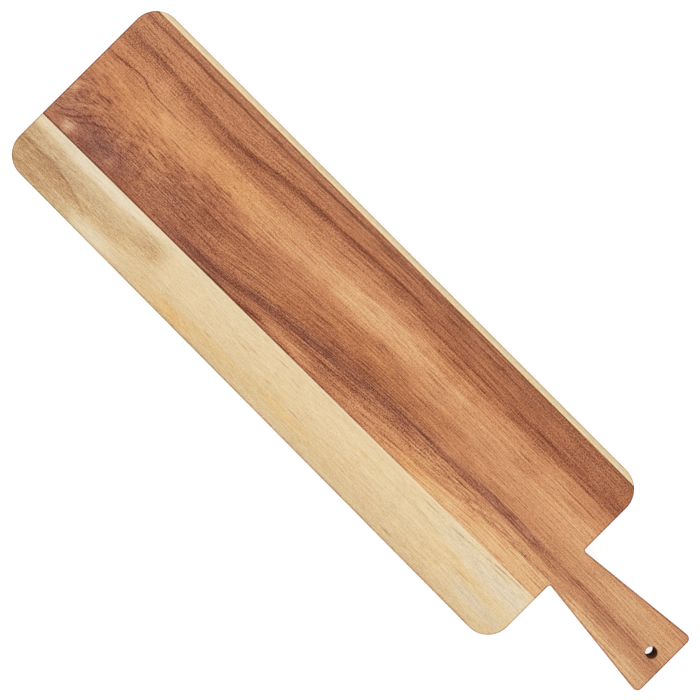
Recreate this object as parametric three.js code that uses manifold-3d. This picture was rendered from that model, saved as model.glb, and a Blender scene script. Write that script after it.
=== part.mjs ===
// A long serving board, edge-glued from three wooden staves, with a flared handle cut from the middle stave.
// Units are millimetres. +X runs along the board to the handle's end, +Y across it to the right edge, +Z up.
// The origin is on the surface that the board lies on, under the middle of its overall length and width.

import * as THREE from "three";
import { mergeVertices, toCreasedNormals } from "three/addons/utils/BufferGeometryUtils.js";
import Module from "manifold-3d";

// Board body
const BODY_LENGTH = 501.5;
const BODY_WIDTH = 160;
const THICKNESS = 15;
const BODY_CORNER_RADIUS = 19.5;
const EASED_EDGE_RADIUS = 1.5;

// Handle, from the shoulders to its end
const HANDLE_LENGTH = 98.5;
const NECK_WIDTH = 34.4;
const HANDLE_END_WIDTH = 55.6;
const NECK_FILLET_RADIUS = 2;
const HANDLE_CORNER_RADIUS = 4;

// Hanging hole, drilled through the handle
const HANGING_HOLE_DIAMETER = 8.5;
const HANGING_HOLE_FROM_END = 13.5;
const HANGING_HOLE_CHAMFER = 0.4;

// Outer staves, each from its edge of the board to the middle of its glue joint. The left one is tapered.
const LEFT_STAVE_FAR_WIDTH = 42.8;
const LEFT_STAVE_NEAR_WIDTH = 48.3;
const RIGHT_STAVE_WIDTH = 4.4;

// Glue joints: the gap between two staves, the film's clearance to each, and how far the film is set back
const GLUE_JOINT_GAP = 0.3;
const GLUE_CLEARANCE = 0.05;
const GLUE_SETBACK = 0.2;

// Facets
const ARC_DIVISIONS = 6;
const EASED_EDGE_SEGMENTS = 3;
const HOLE_SIDES = 24;
const SMOOTH_ANGLE = Math.PI / 5;

// How far a cutting solid reaches past what it cuts
const OVERCUT = 1;

// Share of a wall that a rounding may use up
const FILLET_LIMIT = 0.45;

// Places worked out from the sizes above
const FAR_END_X = -(BODY_LENGTH + HANDLE_LENGTH) / 2;
const SHOULDER_X = FAR_END_X + BODY_LENGTH;
const HANDLE_END_X = SHOULDER_X + HANDLE_LENGTH;
const LEFT_EDGE_Y = -BODY_WIDTH / 2;
const RIGHT_EDGE_Y = BODY_WIDTH / 2;
const EASED_EDGE = Math.min(EASED_EDGE_RADIUS, FILLET_LIMIT * THICKNESS, 2 * FILLET_LIMIT * HANDLE_CORNER_RADIUS);

// Each glue joint's middle, as its Y at the far end and at the shoulders
const LEFT_JOINT = {
  farY: LEFT_EDGE_Y + LEFT_STAVE_FAR_WIDTH,
  nearY: LEFT_EDGE_Y + LEFT_STAVE_NEAR_WIDTH,
};
const RIGHT_JOINT = {
  farY: RIGHT_EDGE_Y - RIGHT_STAVE_WIDTH,
  nearY: RIGHT_EDGE_Y - RIGHT_STAVE_WIDTH,
};

const SAPWOOD = new THREE.MeshStandardMaterial({ color: 0xe3cc9a, roughness: 0.55, metalness: 0 });
const HEARTWOOD = new THREE.MeshStandardMaterial({ color: 0xb67a4c, roughness: 0.5, metalness: 0 });
const GLUE = new THREE.MeshStandardMaterial({ color: 0x7d5a3c, roughness: 0.6, metalness: 0 });

const wasm = await Module();
wasm.setup();

// A closed geometry as a solid that can be joined and cut
function solidFrom(geometry) {
  geometry.deleteAttribute("normal");
  geometry.deleteAttribute("uv");
  const merged = mergeVertices(geometry);
  const vertProperties = merged.getAttribute("position").array;
  const triVerts = new Uint32Array(merged.index.array);
  return new wasm.Manifold(new wasm.Mesh({ numProp: 3, vertProperties, triVerts }));
}

// A solid as a named mesh, smooth over the eased edges and crisp at the glue joints
function meshFrom(name, solid, material) {
  const { vertProperties, triVerts } = solid.getMesh();
  const geometry = new THREE.BufferGeometry();
  geometry.setAttribute("position", new THREE.BufferAttribute(vertProperties, 3));
  geometry.setIndex(new THREE.BufferAttribute(triVerts, 1));
  const mesh = new THREE.Mesh(toCreasedNormals(geometry, SMOOTH_ANGLE), material);
  mesh.name = name;
  return mesh;
}

// A closed outline through corners given counterclockwise, each rounded by an arc that is tangent to its two sides
function roundedOutline(corners) {
  const outline = new THREE.Shape();
  corners.forEach(({ point, radius }, i) => {
    const back = corners.at(i - 1).point.clone().sub(point);
    const onward = corners[(i + 1) % corners.length].point.clone().sub(point);
    const shorterSide = Math.min(back.length(), onward.length());
    const halfAngle = back.angleTo(onward) / 2;
    const reach = Math.min(radius / Math.tan(halfAngle), FILLET_LIMIT * shorterSide);
    const arcRadius = reach * Math.tan(halfAngle);
    const start = point.clone().addScaledVector(back.normalize(), reach);
    const end = point.clone().addScaledVector(onward.normalize(), reach);
    const bisector = back.clone().add(onward).normalize();
    const centre = point.clone().addScaledVector(bisector, arcRadius / Math.sin(halfAngle));
    const startAngle = start.sub(centre).angle();
    const endAngle = end.sub(centre).angle();
    const isInside = back.cross(onward) > 0;
    outline.absarc(centre.x, centre.y, arcRadius, startAngle, endAngle, isInside);
  });
  return outline;
}

// The board seen from above: the body with its round corners, and the handle flaring out from the neck
function boardOutline() {
  const corner = (x, y, radius) => ({ point: new THREE.Vector2(x, y), radius });
  return roundedOutline([
    corner(FAR_END_X, LEFT_EDGE_Y, BODY_CORNER_RADIUS),
    corner(SHOULDER_X, LEFT_EDGE_Y, BODY_CORNER_RADIUS),
    corner(SHOULDER_X, -NECK_WIDTH / 2, NECK_FILLET_RADIUS),
    corner(HANDLE_END_X, -HANDLE_END_WIDTH / 2, HANDLE_CORNER_RADIUS),
    corner(HANDLE_END_X, HANDLE_END_WIDTH / 2, HANDLE_CORNER_RADIUS),
    corner(SHOULDER_X, NECK_WIDTH / 2, NECK_FILLET_RADIUS),
    corner(SHOULDER_X, RIGHT_EDGE_Y, BODY_CORNER_RADIUS),
    corner(FAR_END_X, RIGHT_EDGE_Y, BODY_CORNER_RADIUS),
  ]);
}

// The whole board with its eased edges, before it is parted into staves, drawn in all round by a setback
function boardBlank(setback) {
  const geometry = new THREE.ExtrudeGeometry(boardOutline(), {
    depth: THICKNESS - 2 * (EASED_EDGE + setback),
    bevelThickness: EASED_EDGE,
    bevelSize: EASED_EDGE,
    bevelOffset: -EASED_EDGE - setback,
    bevelSegments: EASED_EDGE_SEGMENTS,
    curveSegments: ARC_DIVISIONS,
  });
  geometry.translate(0, 0, EASED_EDGE + setback);
  return solidFrom(geometry);
}

// A glue joint's line, moved across the board, as the points where it passes the far end and the shoulders
function jointLine(joint, shift) {
  const slope = (joint.nearY - joint.farY) / BODY_LENGTH;
  return [
    new THREE.Vector2(FAR_END_X - OVERCUT, joint.farY + shift - slope * OVERCUT),
    new THREE.Vector2(SHOULDER_X + OVERCUT, joint.nearY + shift + slope * OVERCUT),
  ];
}

// A straight line along the body, just outside one of its long edges
function outsideLine(y) {
  return [new THREE.Vector2(FAR_END_X - OVERCUT, y), new THREE.Vector2(SHOULDER_X + OVERCUT, y)];
}

// A block as long as the body between two lines along it, reaching past both faces of the board
function blockBetween(lowerLine, upperLine) {
  const shape = new THREE.Shape([...lowerLine, ...upperLine.toReversed()]);
  const geometry = new THREE.ExtrudeGeometry(shape, { depth: THICKNESS + 2 * OVERCUT, bevelEnabled: false });
  geometry.translate(0, 0, -OVERCUT);
  return solidFrom(geometry);
}

// What lies to the left of the left joint, or to the right of the right joint, as far as a shift from its middle
function leftOf(shift) {
  return blockBetween(outsideLine(LEFT_EDGE_Y - OVERCUT), jointLine(LEFT_JOINT, shift));
}
function rightOf(shift) {
  return blockBetween(jointLine(RIGHT_JOINT, shift), outsideLine(RIGHT_EDGE_Y + OVERCUT));
}

// The drill that makes the hanging hole, with a countersink for each face
function holeDrill() {
  const radius = HANGING_HOLE_DIAMETER / 2;
  const rim = radius + HANGING_HOLE_CHAMFER;
  const profile = [
    new THREE.Vector2(0, -OVERCUT),
    new THREE.Vector2(rim + OVERCUT, -OVERCUT),
    new THREE.Vector2(radius, HANGING_HOLE_CHAMFER),
    new THREE.Vector2(radius, THICKNESS - HANGING_HOLE_CHAMFER),
    new THREE.Vector2(rim + OVERCUT, THICKNESS + OVERCUT),
    new THREE.Vector2(0, THICKNESS + OVERCUT),
  ];
  const geometry = new THREE.LatheGeometry(profile, HOLE_SIDES);
  geometry.rotateX(Math.PI / 2);
  geometry.translate(HANDLE_END_X - HANGING_HOLE_FROM_END, 0, 0);
  return solidFrom(geometry);
}

// The film of cured glue in a joint, a little thinner than the gap and set back from the faces and ends
function glueFilm(joint) {
  const half = GLUE_JOINT_GAP / 2 - GLUE_CLEARANCE;
  return boardBlank(GLUE_SETBACK).intersect(blockBetween(jointLine(joint, -half), jointLine(joint, half)));
}

const blank = boardBlank(0);
const halfGap = GLUE_JOINT_GAP / 2;

const staves = new THREE.Group();
staves.add(
  meshFrom("left_stave", blank.intersect(leftOf(-halfGap)), SAPWOOD),
  meshFrom(
    "centre_stave",
    blank.subtract(leftOf(halfGap)).subtract(rightOf(-halfGap)).subtract(holeDrill()),
    HEARTWOOD,
  ),
  meshFrom("right_stave", blank.intersect(rightOf(halfGap)), SAPWOOD),
);

const glueLines = new THREE.Group();
glueLines.add(
  meshFrom("left_glue_line", glueFilm(LEFT_JOINT), GLUE),
  meshFrom("right_glue_line", glueFilm(RIGHT_JOINT), GLUE),
);

const board = new THREE.Group();
board.add(staves, glueLines);

export default board;
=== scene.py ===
"""A long edge-glued serving board: three oiled wooden staves and the glue between them, in a plain studio.

Lengths are in metres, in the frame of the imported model: +X along the board to the handle's end, +Y across
it to the edge with the narrow pale stave, +Z up. The figure of the wood is drawn in millimetres, with x
counted from the board's far end, y from its left edge and z from its underside.
"""

import logging
import math
from dataclasses import dataclass
from enum import Enum
from typing import Union

import bpy
from bpy.types import Material, Mesh, NodeSocket, NodeTree, Object
from mathutils import Matrix, Vector, geometry, kdtree, noise


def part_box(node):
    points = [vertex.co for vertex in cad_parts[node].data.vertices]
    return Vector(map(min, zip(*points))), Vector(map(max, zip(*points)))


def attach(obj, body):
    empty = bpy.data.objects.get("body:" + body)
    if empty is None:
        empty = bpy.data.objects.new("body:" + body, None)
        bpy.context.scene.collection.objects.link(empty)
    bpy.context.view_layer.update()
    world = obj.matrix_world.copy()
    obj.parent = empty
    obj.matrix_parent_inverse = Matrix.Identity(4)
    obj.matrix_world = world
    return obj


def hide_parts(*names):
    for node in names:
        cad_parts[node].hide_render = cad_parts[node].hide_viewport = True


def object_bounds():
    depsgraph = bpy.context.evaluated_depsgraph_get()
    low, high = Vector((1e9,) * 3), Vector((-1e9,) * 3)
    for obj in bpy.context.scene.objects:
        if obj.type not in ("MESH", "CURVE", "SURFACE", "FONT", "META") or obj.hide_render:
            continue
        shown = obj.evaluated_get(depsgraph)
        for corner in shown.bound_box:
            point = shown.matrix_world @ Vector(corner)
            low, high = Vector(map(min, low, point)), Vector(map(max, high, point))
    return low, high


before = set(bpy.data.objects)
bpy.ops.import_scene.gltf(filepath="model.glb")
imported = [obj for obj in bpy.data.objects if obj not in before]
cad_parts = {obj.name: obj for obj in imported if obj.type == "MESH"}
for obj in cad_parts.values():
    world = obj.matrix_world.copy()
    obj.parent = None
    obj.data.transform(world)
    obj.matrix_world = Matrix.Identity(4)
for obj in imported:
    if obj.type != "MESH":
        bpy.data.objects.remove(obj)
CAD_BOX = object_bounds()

LOG = logging.getLogger("serving_board")
BODY = "root"
MM = 0.001
BOARD_DEPTH = CAD_BOX[1].z / MM

Points = tuple[tuple[float, float], ...]
Stops = tuple[tuple[float, str], ...]
Number = Union["Field", float]


# Outlines and meshes

ARC_STEP = math.radians(4)
FEWEST_ARC_STEPS = 3
NEARLY_PARALLEL = 0.15
SHARP_ANGLE = math.radians(35)
FILL_INSIDE = 1
SAME_POINT = 1e-7


class Side(Enum):
    """How a side of a piece is worked."""

    EASED = "rounded over, on the outside of the board"
    GLUED = "planed straight, against a glue line"


@dataclass(frozen=True)
class OutlinePoint:
    """A point of an outline seen from above, and the working of the side that leaves it."""

    at: Vector
    side: Side = Side.EASED


Outline = list[OutlinePoint]


def rounded_corner(before: Vector, corner: Vector, after: Vector, radius: float) -> list[Vector]:
    """Rounds a corner of an outline by an arc that is tangent to its two sides.

    Args:
        before: The corner that comes before it.
        corner: The corner to round.
        after: The corner that comes after it.
        radius: The arc's radius.

    Returns:
        The arc's points, in order.
    """
    back = (before - corner).normalized()
    onward = (after - corner).normalized()
    half_angle = back.angle(onward) / 2
    centre = corner + (back + onward).normalized() * (radius / math.sin(half_angle))
    start = corner + back * (radius / math.tan(half_angle)) - centre
    turn = math.pi - 2 * half_angle
    if back.cross(onward) > 0:
        turn = -turn
    steps = max(FEWEST_ARC_STEPS, round(abs(turn) / ARC_STEP))
    return [centre + Matrix.Rotation(turn * i / steps, 2) @ start for i in range(steps + 1)]


def kept_left_of(outline: Outline, start: Vector, end: Vector) -> Outline:
    """Cuts an outline along a line, and keeps what lies to the left of it.

    Args:
        outline: The outline to cut, counterclockwise.
        start: A point on the line.
        end: A later point on the line.

    Returns:
        The outline that is left, whose side along the cut is glued.
    """
    heights = [(end - start).cross(point.at - start) for point in outline]
    kept = []
    for i, point in enumerate(outline):
        following = (i + 1) % len(outline)
        if heights[i] >= 0:
            kept.append(point)
        if heights[i] * heights[following] < 0:
            share = heights[i] / (heights[i] - heights[following])
            at = point.at.lerp(outline[following].at, share)
            kept.append(OutlinePoint(at, Side.GLUED if heights[i] > 0 else point.side))
    return kept


def subdivided(outline: Outline, step: float) -> Outline:
    """Adds points along the long sides of an outline.

    Args:
        outline: The outline.
        step: The longest side that is left whole.

    Returns:
        The outline with the added points.
    """
    finer = []
    for i, point in enumerate(outline):
        following = outline[(i + 1) % len(outline)].at
        parts = max(1, math.ceil((following - point.at).length / step))
        finer += [OutlinePoint(point.at.lerp(following, k / parts), point.side) for k in range(parts)]
    return finer


def inset_directions(outline: Outline) -> list[Vector]:
    """Finds how each point of an outline moves when its eased sides are drawn in by one unit.

    Args:
        outline: The outline, counterclockwise.

    Returns:
        One vector for each point. Glued sides stay on their line.
    """
    sides = [outline[(i + 1) % len(outline)].at - point.at for i, point in enumerate(outline)]
    normals = [Vector((side.y, -side.x)).normalized() for side in sides]
    offsets = [1.0 if point.side is Side.EASED else 0.0 for point in outline]
    directions = []
    for i in range(len(outline)):
        before, after = normals[i - 1], normals[i]
        corner = before.cross(after)
        if abs(corner) < NEARLY_PARALLEL:
            directions.append((before + after).normalized() * (-(offsets[i - 1] + offsets[i]) / 2))
            continue
        x = (-offsets[i - 1] * after.y + offsets[i] * before.y) / corner
        y = (-offsets[i] * before.x + offsets[i - 1] * after.x) / corner
        directions.append(Vector((x, y)))
    return directions


@dataclass(frozen=True)
class Hole:
    """A hole drilled straight down through a slab, with eased rims."""

    centre: Vector
    radius: float
    rim_radius: float
    sides: int = 64


@dataclass
class Slab:
    """A flat piece of the board, built in rings from its lower face over its eased edge to the upper one."""

    outline: Outline
    lower: float
    upper: float
    edge_radius: float
    recess: float = 0.0
    hole: Hole | None = None
    edge_segments: int = 6
    step: float = 6 * MM
    edge_variation: float = 0.12
    face_dip: float = 0.05 * MM
    waver_length: float = 60 * MM
    grid_clearance: float = 0.8

    def mesh(self, name: str) -> Mesh:
        """Builds the slab's mesh.

        Args:
            name: The mesh's name.

        Returns:
            The closed mesh, smooth over its rounded edges.
        """
        self.verts: list[Vector] = []
        self.faces: list[tuple[int, ...]] = []
        rings = self._edge_rings()
        self._join(rings, outward=True)
        holes = self._hole_rings() if self.hole else []
        self._join(holes, outward=False)
        self._close_face(rings[0], holes[0] if holes else [], upward=False)
        self._close_face(rings[-1], holes[-1] if holes else [], upward=True)
        mesh = bpy.data.meshes.new(name)
        mesh.from_pydata(self.verts, [], self.faces)
        mesh.validate()
        mesh.shade_smooth()
        mesh.set_sharp_from_angle(angle=SHARP_ANGLE)
        return mesh

    def _quarter_round(self) -> list[tuple[float, float]]:
        """The eased edge's section, as shares of its radius: how far in, and how far from the face."""
        angles = [math.pi / 2 * i / self.edge_segments for i in range(self.edge_segments + 1)]
        return [(1 - math.sin(angle), 1 - math.cos(angle)) for angle in angles]

    def _waver(self, at: Vector) -> float:
        """A slow variation between -1 and 1, as sanding by hand leaves it."""
        return noise.noise(Vector((at.x, at.y, self.upper)) / self.waver_length)

    def _edge_rings(self) -> list[list[int]]:
        """Adds the vertices of the outer edge.

        Returns:
            The rings of vertex numbers, from the lower face's rim to the upper face's.
        """
        outline = subdivided(self.outline, self.step)
        directions = inset_directions(outline)
        radii = [self.edge_radius * (1 + self.edge_variation * self._waver(p.at)) for p in outline]
        section = self._quarter_round()
        levels = [(inset, rise, False) for inset, rise in section]
        levels += [(inset, rise, True) for inset, rise in reversed(section)]
        rings = []
        for inset, rise, is_upper in levels:
            ring = []
            for point, direction, radius in zip(outline, directions, radii):
                at = point.at + direction * (self.recess + radius * inset)
                z = self.upper - radius * rise if is_upper else self.lower + radius * rise
                ring.append(self._vertex(at, z))
            rings.append(ring)
        return rings

    def _hole_rings(self) -> list[list[int]]:
        """Adds the vertices of the hole's wall and rims.

        Returns:
            The rings of vertex numbers, from the lower rim to the upper one.
        """
        hole = self.hole
        section = self._quarter_round()
        levels = [(inset, self.lower + hole.rim_radius * rise) for inset, rise in section]
        levels += [(inset, self.upper - hole.rim_radius * rise) for inset, rise in reversed(section)]
        rings = []
        for inset, z in levels:
            arm = Vector((hole.radius + hole.rim_radius * inset, 0))
            turns = [Matrix.Rotation(math.tau * i / hole.sides, 2) for i in range(hole.sides)]
            rings.append([self._vertex(hole.centre + turn @ arm, z) for turn in turns])
        return rings

    def _vertex(self, at: Vector, z: float) -> int:
        """Adds a vertex and returns its number."""
        self.verts.append(Vector((at.x, at.y, z)))
        return len(self.verts) - 1

    def _join(self, rings: list[list[int]], outward: bool) -> None:
        """Fills between rings, from each to the next.

        Args:
            rings: Rings of vertex numbers, counterclockwise, from the lowest up.
            outward: Whether the faces look away from the middle of the rings.
        """
        for lower, upper in zip(rings, rings[1:]):
            for i in range(len(lower)):
                after = (i + 1) % len(lower)
                quad = (lower[i], lower[after], upper[after], upper[i])
                self.faces.append(quad if outward else quad[::-1])

    def _close_face(self, rim: list[int], hole_rim: list[int], upward: bool) -> None:
        """Fills the lower or upper face, with points inside it that dip a little from flat.

        Args:
            rim: Vertex numbers round the face.
            hole_rim: Vertex numbers round the hole in it, if it has one.
            upward: Whether it is the upper face.
        """
        border = rim + hole_rim
        points = [self.verts[i].xy for i in border]
        edges = [(i, (i + 1) % len(rim)) for i in range(len(rim))]
        first = len(rim)
        edges += [(first + i, first + (i + 1) % len(hole_rim)) for i in range(len(hole_rim))]
        points += self._points_inside(points)
        filled = geometry.delaunay_2d_cdt(points, edges, [], FILL_INSIDE, SAME_POINT)
        made, _, triangles, sources = filled[:4]
        level = self.verts[rim[0]].z
        numbers: dict[int, int] = {}
        for triangle in triangles:
            middle = sum((made[i] for i in triangle), Vector((0, 0))) / 3
            if self.hole and (middle - self.hole.centre).length < self.hole.radius:
                continue
            for i in triangle:
                if i not in numbers and sources[i] and sources[i][0] < len(border):
                    numbers[i] = border[sources[i][0]]
                elif i not in numbers:
                    dip = self.face_dip * (1 + self._waver(made[i])) / 2
                    numbers[i] = self._vertex(made[i], level - dip if upward else level + dip)
            corners = tuple(numbers[i] for i in triangle)
            self.faces.append(corners if upward else corners[::-1])

    def _points_inside(self, border: list[Vector]) -> list[Vector]:
        """Sets out a grid of points that stay clear of a border.

        Args:
            border: The points of the border, no further apart than the grid's own.

        Returns:
            The grid's points.
        """
        clearance = self.grid_clearance * self.step
        tree = kdtree.KDTree(len(border))
        for i, point in enumerate(border):
            tree.insert(point.to_3d(), i)
        tree.balance()
        low = Vector((min(p.x for p in border), min(p.y for p in border)))
        high = Vector((max(p.x for p in border), max(p.y for p in border)))
        across = int((high.x - low.x) / self.step)
        up = int((high.y - low.y) / self.step)
        grid = [low + Vector((i + 0.5, j + 0.5)) * self.step for i in range(across) for j in range(up)]
        return [point for point in grid if tree.find(point.to_3d())[2] > clearance]


# Fields and surfaces

NOISE_GAIN = 4.0


def linear(hex_colour: str) -> tuple[float, float, float, float]:
    """Turns a colour written as it looks on a screen into linear values, by the sRGB standard's curve.

    Args:
        hex_colour: The colour as six hexadecimal digits after a number sign.

    Returns:
        Red, green, blue and an alpha of 1.
    """
    levels = [int(hex_colour[i : i + 2], 16) / 255 for i in (1, 3, 5)]
    red, green, blue = [v / 12.92 if v <= 0.04045 else ((v + 0.055) / 1.055) ** 2.4 for v in levels]
    return red, green, blue, 1.0


@dataclass(frozen=True)
class Field:
    """A number that varies over a surface: an output of a node tree that is being built."""

    tree: NodeTree
    socket: NodeSocket

    def plug_into(self, target: NodeSocket) -> None:
        """Links this field to an input."""
        self.tree.links.new(self.socket, target)

    def _math(self, operation: str, *operands: Number) -> "Field":
        """Adds a Math node.

        Args:
            operation: The node's operation.
            operands: What goes into its inputs, in order.

        Returns:
            The node's result.
        """
        node = self.tree.nodes.new("ShaderNodeMath")
        node.operation = operation
        for target, operand in zip(node.inputs, operands):
            if isinstance(operand, Field):
                operand.plug_into(target)
            else:
                target.default_value = operand
        return Field(self.tree, node.outputs[0])

    def __add__(self, other: Number) -> "Field":
        """The sum of the two."""
        return self._math("ADD", self, other)

    def __sub__(self, other: Number) -> "Field":
        """This field less the other."""
        return self._math("SUBTRACT", self, other)

    def __rsub__(self, other: float) -> "Field":
        """A number less this field."""
        return self._math("SUBTRACT", other, self)

    def __mul__(self, other: Number) -> "Field":
        """The product of the two."""
        return self._math("MULTIPLY", self, other)

    def __abs__(self) -> "Field":
        """The size of this field without its sign."""
        return self._math("ABSOLUTE", self)

    def times_plus(self, factor: Number, addend: Number) -> "Field":
        """This field times a factor, plus an addend."""
        return self._math("MULTIPLY_ADD", self, factor, addend)

    def power_of(self, base: float) -> "Field":
        """A number raised to this field."""
        return self._math("POWER", base, self)

    def clamped(self) -> "Field":
        """This field kept between 0 and 1."""
        held = self * 1.0
        held.socket.node.use_clamp = True
        return held

    def step(self, low: float, high: float) -> "Field":
        """Rises smoothly from 0 to 1.

        Args:
            low: Where it leaves 0.
            high: Where it reaches 1.

        Returns:
            The smooth step.
        """
        node = self.tree.nodes.new("ShaderNodeMapRange")
        node.interpolation_type = "SMOOTHSTEP"
        self.plug_into(node.inputs["Value"])
        node.inputs["From Min"].default_value = low
        node.inputs["From Max"].default_value = high
        return Field(self.tree, node.outputs["Result"])

    def curve(self, points: Points) -> "Field":
        """Draws a smooth curve through points, level beyond the first and the last.

        Args:
            points: Pairs of this field's value and the curve's value there.

        Returns:
            The curve's value.
        """
        node = self.tree.nodes.new("ShaderNodeFloatCurve")
        node.mapping.use_clip = False
        node.mapping.extend = "HORIZONTAL"
        drawn = node.mapping.curves[0].points
        drawn[0].location = points[0]
        drawn[1].location = points[-1]
        for x, y in points[1:-1]:
            drawn.new(x, y)
        for point in drawn:
            point.handle_type = "AUTO_CLAMPED"
        node.mapping.update()
        self.plug_into(node.inputs["Value"])
        return Field(self.tree, node.outputs[0])


class Surface:
    """A material that is being built, with places on the board in millimetres as fields."""

    def __init__(self, name: str) -> None:
        """Starts a material.

        Args:
            name: The material's name.
        """
        self.material = bpy.data.materials.new(name)
        self.material.use_nodes = True
        self.tree = self.material.node_tree
        self.shader = self.tree.nodes["Principled BSDF"]
        coordinates = self.tree.nodes.new("ShaderNodeTexCoord")
        position = self._split(coordinates.outputs["Object"])
        parts = zip(position, CAD_BOX[0])
        self.x, self.y, self.z = [field.times_plus(1 / MM, -low / MM) for field, low in parts]

    def _split(self, vector: NodeSocket) -> list[Field]:
        """The three parts of a vector output, as fields."""
        node = self.tree.nodes.new("ShaderNodeSeparateXYZ")
        self.tree.links.new(vector, node.inputs[0])
        return [Field(self.tree, output) for output in node.outputs]

    def facing(self) -> list[Field]:
        """The parts along X, Y and Z of the direction that the surface faces."""
        return self._split(self.tree.nodes.new("ShaderNodeNewGeometry").outputs["Normal"])

    def noise(self, along: Field, across: Field, depth: Field, length: float, width: float,
              detail: float = 2.0, harshness: float = 0.5, seed: float = 0.0) -> Field:
        """Makes a noise that is drawn out along the grain.

        Args:
            along: Place along the grain.
            across: Place across the grain.
            depth: Place through the board.
            length: Size of its features along the grain.
            width: Size of its features across the grain.
            detail: How many finer octaves it has.
            harshness: How strong the finer octaves are.
            seed: Moves it to another part of the pattern.

        Returns:
            The noise, mostly between -1 and 1 and about 0 on average.
        """
        place = self.tree.nodes.new("ShaderNodeCombineXYZ")
        along.times_plus(1 / length, seed).plug_into(place.inputs[0])
        (across * (1 / width)).plug_into(place.inputs[1])
        (depth * (1 / width)).plug_into(place.inputs[2])
        node = self.tree.nodes.new("ShaderNodeTexNoise")
        node.inputs["Scale"].default_value = 1.0
        node.inputs["Detail"].default_value = detail
        node.inputs["Roughness"].default_value = harshness
        self.tree.links.new(place.outputs[0], node.inputs["Vector"])
        return Field(self.tree, node.outputs["Fac"]).times_plus(NOISE_GAIN, -NOISE_GAIN / 2)

    def ramp(self, value: Field, stops: Stops) -> NodeSocket:
        """Turns a field into a colour.

        Args:
            value: The field.
            stops: Pairs of a value and the colour there, rising.

        Returns:
            The colour output.
        """
        low, high = stops[0][0], stops[-1][0]
        node = self.tree.nodes.new("ShaderNodeValToRGB")
        elements = node.color_ramp.elements
        for element, (_, colour) in zip(elements, (stops[0], stops[-1])):
            element.color = linear(colour)
        for at, colour in stops[1:-1]:
            elements.new((at - low) / (high - low)).color = linear(colour)
        value.times_plus(1 / (high - low), -low / (high - low)).plug_into(node.inputs[0])
        return node.outputs["Color"]

    def mixed(self, factor: Field, first: NodeSocket, second: NodeSocket) -> NodeSocket:
        """Mixes two colours.

        Args:
            factor: The share of the second.
            first: A colour output.
            second: Another one.

        Returns:
            The mixed colour.
        """
        node = self.tree.nodes.new("ShaderNodeMix")
        node.data_type = "RGBA"
        factor.plug_into(node.inputs["Factor"])
        self.tree.links.new(first, node.inputs["A"])
        self.tree.links.new(second, node.inputs["B"])
        return node.outputs["Result"]

    def finished(self, colour: NodeSocket, roughness: Field, relief: Field, shine: float) -> Material:
        """Joins everything to the shader.

        Args:
            colour: The surface's colour.
            roughness: Its roughness.
            relief: Its fine relief, in millimetres.
            shine: Its specular level.

        Returns:
            The finished material.
        """
        self.tree.links.new(colour, self.shader.inputs["Base Color"])
        roughness.plug_into(self.shader.inputs["Roughness"])
        self.shader.inputs["Specular IOR Level"].default_value = shine
        bump = self.tree.nodes.new("ShaderNodeBump")
        bump.inputs["Strength"].default_value = 1.0
        bump.inputs["Distance"].default_value = MM
        relief.plug_into(bump.inputs["Height"])
        self.tree.links.new(bump.outputs["Normal"], self.shader.inputs["Normal"])
        return self.material


# Finishes


@dataclass(frozen=True)
class Streak:
    """A band of darker or lighter wood along a path.

    The path gives y at some values of x, and the change gives the tone that the band adds at some values
    of x. The band is at its full strength within its core and fades over the distances above and below it.
    The feather is how far the grain pulls its edges out of line.
    """

    path: Points
    change: Points
    above: float
    below: float
    core: float = 0.3
    feather: float = 2.0

    def laid_on(self, tone: Field, x: Field, y: Field, ragged: Field) -> Field:
        """Adds the band to a tone.

        Args:
            tone: The tone so far.
            x: Place along the board.
            y: Place across it.
            ragged: The pull of the grain, between -1 and 1.

        Returns:
            The tone with the band.
        """
        offset = ragged.times_plus(self.feather, y) - x.curve(self.path)
        low, high = self.core + self.below, self.core + self.above
        section = ((-low, 0), (-self.core, 1), (self.core, 1), (high, 0))
        return offset.curve(section).times_plus(x.curve(self.change), tone)


@dataclass(frozen=True)
class Patch:
    """A soft oval patch of darker or lighter wood: its place, and its reach along and across the grain."""

    at: tuple[float, float]
    along: float
    across: float
    change: float

    def laid_on(self, tone: Field, x: Field, y: Field) -> Field:
        """Adds the patch to a tone.

        Args:
            tone: The tone so far.
            x: Place along the board.
            y: Place across it.

        Returns:
            The tone with the patch.
        """
        u = x.times_plus(1 / self.along, -self.at[0] / self.along)
        v = y.times_plus(1 / self.across, -self.at[1] / self.across)
        distance = u.times_plus(u, v * v)
        return distance.power_of(math.exp(-1)).times_plus(self.change, tone)


Patches = tuple[Patch, ...]


def total(patches: Patches, x: Field, y: Field) -> Field:
    """Adds up patches.

    Args:
        patches: The patches.
        x: Place along the board.
        y: Place across it.

    Returns:
        What they add together.
    """
    so_far = x * 0.0
    for patch in patches:
        so_far = patch.laid_on(so_far, x, y)
    return so_far


@dataclass(frozen=True)
class Tint:
    """Other colours for the tones of a wood, and the patches that have them."""

    tones: Stops
    patches: Patches


@dataclass(frozen=True)
class Bend:
    """A sweep of the grain across the board: how far it goes along x, and the share that applies along y."""

    shift: Points
    share: Points


@dataclass(frozen=True)
class Grain:
    """A layer of grain: the length and the spacing of its lines, and the tone and relief that it adds.

    Where only_above is given, just the peaks of the pattern above that level show, as pores and dark lines
    do. Where zones are given, the layer shows only in those patches. A layer that doesn't bend runs
    straight along the board, whatever the figure does.
    """

    length: float
    spacing: float
    change: float
    relief: float = 0.0
    only_above: float | None = None
    detail: float = 2.0
    bends: bool = True
    zones: Patches = ()


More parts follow.
